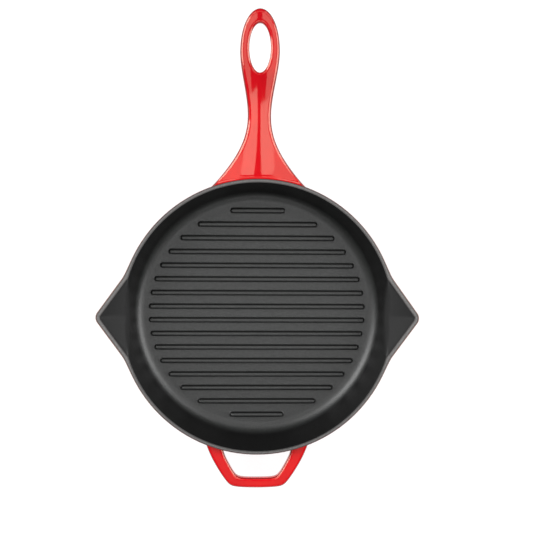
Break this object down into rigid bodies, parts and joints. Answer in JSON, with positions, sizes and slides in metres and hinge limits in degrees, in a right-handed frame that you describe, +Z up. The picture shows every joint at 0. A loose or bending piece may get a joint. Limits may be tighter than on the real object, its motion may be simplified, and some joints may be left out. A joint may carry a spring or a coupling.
{
  "type": "grill pan",
  "caption": "Round enamelled cast-iron grill pan with parallel ridges, pouring spouts, a long handle with a hanging hole and a helper handle.",
  "frame": {"origin": "centre of the foot ring, on the surface that the pan stands on", "axes": "+X towards one pouring spout, +Y along the long handle, +Z up out of the bowl"},
  "size_m": [0.3076, 0.4482, 0.06],
  "materials": {
    "cast_iron": "rough cast",
    "red_enamel": "glossy vitreous enamel",
    "black_enamel": "matt vitreous enamel"
  },
  "bodies": {
    "root": {"bowl_casting": "cast_iron", "outer_enamel": "red_enamel", "base_enamel": "red_enamel", "inner_enamel": "black_enamel", "long_handle": "red_enamel", "helper_handle": "red_enamel", "grill_ridge_01": "black_enamel", "grill_ridge_02": "black_enamel", "grill_ridge_03": "black_enamel", "grill_ridge_04": "black_enamel", "grill_ridge_05": "black_enamel", "grill_ridge_06": "black_enamel", "grill_ridge_07": "black_enamel", "grill_ridge_08": "black_enamel", "grill_ridge_09": "black_enamel", "grill_ridge_10": "black_enamel", "grill_ridge_11": "black_enamel", "grill_ridge_12": "black_enamel", "grill_ridge_13": "black_enamel", "grill_ridge_14": "black_enamel", "grill_ridge_15": "black_enamel", "grill_ridge_16": "black_enamel"}
  },
  "joints": []
}
